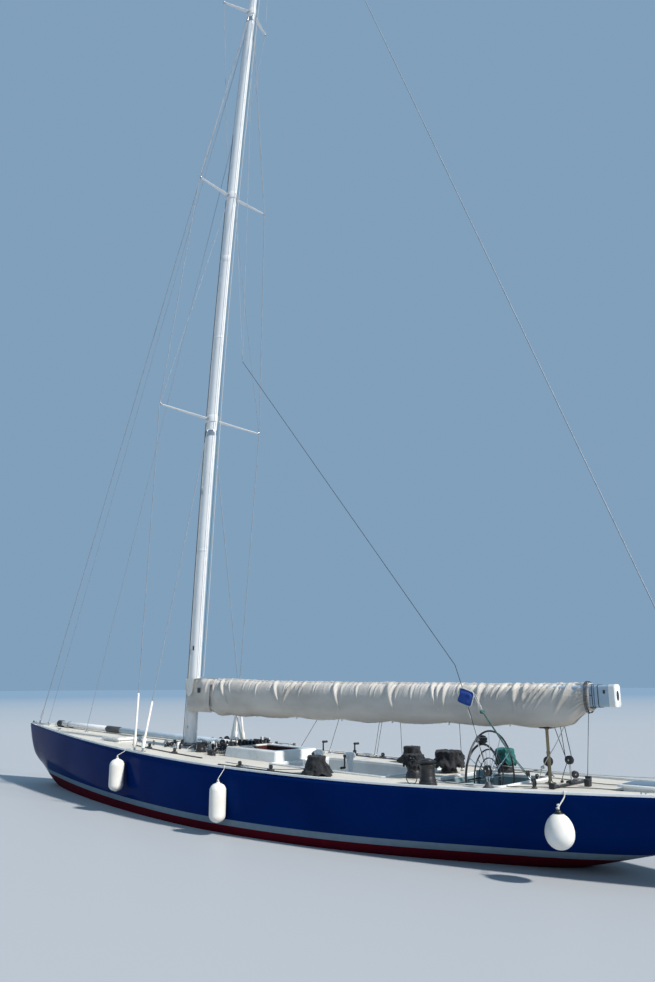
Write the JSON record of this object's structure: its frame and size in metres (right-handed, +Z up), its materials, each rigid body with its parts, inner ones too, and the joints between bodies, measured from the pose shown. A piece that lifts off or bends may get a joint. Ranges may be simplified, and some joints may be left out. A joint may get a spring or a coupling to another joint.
{
  "type": "racing sailing yacht",
  "caption": "Long-ended racing yacht afloat, with a covered boom, bending mast with crosstrees, ballast keel, trim tab, rudder, steering wheels and hatches.",
  "frame": {"origin": "on the waterline, on the centre line, amidships", "axes": "+X towards the bow, +Y to port, +Z up along the mast"},
  "size_m": [19, 3.994, 28.95],
  "materials": {
    "hull_navy": "glossy navy enamel",
    "bottom_red": "matt dark red antifouling under a grey boot stripe",
    "deck_cream": "fine non-slip deck paint",
    "white_paint": "gloss white paint",
    "spar_white": "satin white spar paint",
    "cockpit_grey": "light grey satin paint",
    "helm_grey": "teal grey satin paint",
    "pit_maroon": "white trunk, maroon inside",
    "cover_cloth": "silver grey woven cover",
    "rigging_steel": "weathered stainless steel",
    "black_gear": "black anodised and black covers",
    "compass_black": "gloss black",
    "wheel_steel": "dark polished rim",
    "fender_white": "weathered white vinyl"
  },
  "bodies": {
    "root": {"hull_bottom": "bottom_red", "topside_port": "hull_navy", "topside_starboard": "hull_navy", "deck_port": "deck_cream", "deck_starboard": "deck_cream", "toe_rail_port": "white_paint", "toe_rail_starboard": "white_paint", "ballast_keel": "bottom_red", "halyard_pit_trunk": "pit_maroon", "crew_cockpit_liner": "cockpit_grey", "helm_cockpit_liner": "helm_grey", "fore_hatch_coaming": "white_paint", "aft_hatch_coaming": "white_paint", "mast_lower_tube": "spar_white", "mast_upper_tube": "spar_white", "mast_collar": "rigging_steel", "gooseneck": "rigging_steel", "lower_spreaders": "spar_white", "upper_spreaders": "spar_white", "jumper_struts": "spar_white", "forestay": "rigging_steel", "backstay": "rigging_steel", "cap_shroud_port": "rigging_steel", "cap_shroud_starboard": "rigging_steel", "lower_shroud_port": "rigging_steel", "lower_shroud_starboard": "rigging_steel", "chainplate_port": "rigging_steel", "chainplate_starboard": "rigging_steel", "stem_fitting": "rigging_steel", "stern_fitting": "rigging_steel", "spinnaker_pole": "spar_white", "grinder_fore_pedestal": "white_paint", "grinder_aft_pedestal": "white_paint", "primary_winch_port": "black_gear", "primary_winch_starboard": "black_gear", "rail_winch_port": "black_gear", "rail_winch_starboard": "black_gear", "pit_winch_port": "black_gear", "pit_winch_starboard": "black_gear", "halyard_winch_port": "black_gear", "halyard_winch_starboard": "black_gear", "binnacle": "helm_grey", "compass": "compass_black", "fender_fore": "fender_white", "fender_middle": "fender_white", "fender_aft": "fender_white", "boom_crutch": "black_gear", "mainsheet_traveller": "black_gear", "quarter_block_port": "black_gear", "quarter_block_starboard": "black_gear"},
    "boom": {"boom": "spar_white", "sail_cover": "cover_cloth"},
    "rudder": {"rudder": "bottom_red"},
    "trim_tab": {"trim_tab": "bottom_red"},
    "steering_wheel": {"steering_wheel": "wheel_steel"},
    "trim_wheel": {"trim_wheel": "wheel_steel"},
    "fore_hatch_lid": {"fore_hatch_lid": "white_paint"},
    "aft_hatch_lid": {"aft_hatch_lid": "white_paint"},
    "grinder_fore_crank": {"grinder_fore_crank": "black_gear"},
    "grinder_aft_crank": {"grinder_aft_crank": "black_gear"}
  },
  "joints": [
    {"name": "boom_swing", "type": "hinge", "parent": "root", "child": "boom", "pos_m": [1.65879, 0, 2.2], "axis": [0, 0, 1], "range_deg": [-75, 75]},
    {"name": "rudder_turn", "type": "hinge", "parent": "root", "child": "rudder", "pos_m": [-6.55, 0, 0], "axis": [0, 0, 1], "range_deg": [-35, 35]},
    {"name": "steering_wheel_turn", "type": "hinge", "parent": "root", "child": "steering_wheel", "pos_m": [-5.7, 0, 1.08], "axis": [1, 0, 0], "range_deg": [-355, 355]},
    {"name": "trim_tab_turn", "type": "hinge", "parent": "root", "child": "trim_tab", "pos_m": [-1.95, 0, -1.16], "axis": [0, 0, 1], "range_deg": [-12, 12]},
    {"name": "trim_wheel_turn", "type": "hinge", "parent": "root", "child": "trim_wheel", "pos_m": [-5.6652, 0, 1.08], "axis": [1, 0, 0], "range_deg": [-122, 122]},
    {"name": "fore_hatch_hinge", "type": "hinge", "parent": "root", "child": "fore_hatch_lid", "pos_m": [4.412, 0.42, 1.3412], "axis": [0, 1, 0], "range_deg": [0, 100]},
    {"name": "aft_hatch_hinge", "type": "hinge", "parent": "root", "child": "aft_hatch_lid", "pos_m": [-8.442, 0, 1.1728], "axis": [0, -1, 0], "range_deg": [0, 100]},
    {"name": "grinder_fore_spin", "type": "hinge", "parent": "root", "child": "grinder_fore_crank", "pos_m": [-1.93, 0, 1.26], "axis": [0, 1, 0], "continuous": true},
    {"name": "grinder_aft_spin", "type": "hinge", "parent": "root", "child": "grinder_aft_crank", "pos_m": [-2.73, 0, 1.26], "axis": [0, 1, 0], "continuous": true}
  ],
  "couplings": [
    {"joint": "steering_wheel_turn", "follows": "rudder_turn", "ratio": 10},
    {"joint": "trim_wheel_turn", "follows": "trim_tab_turn", "ratio": 10}
  ]
}
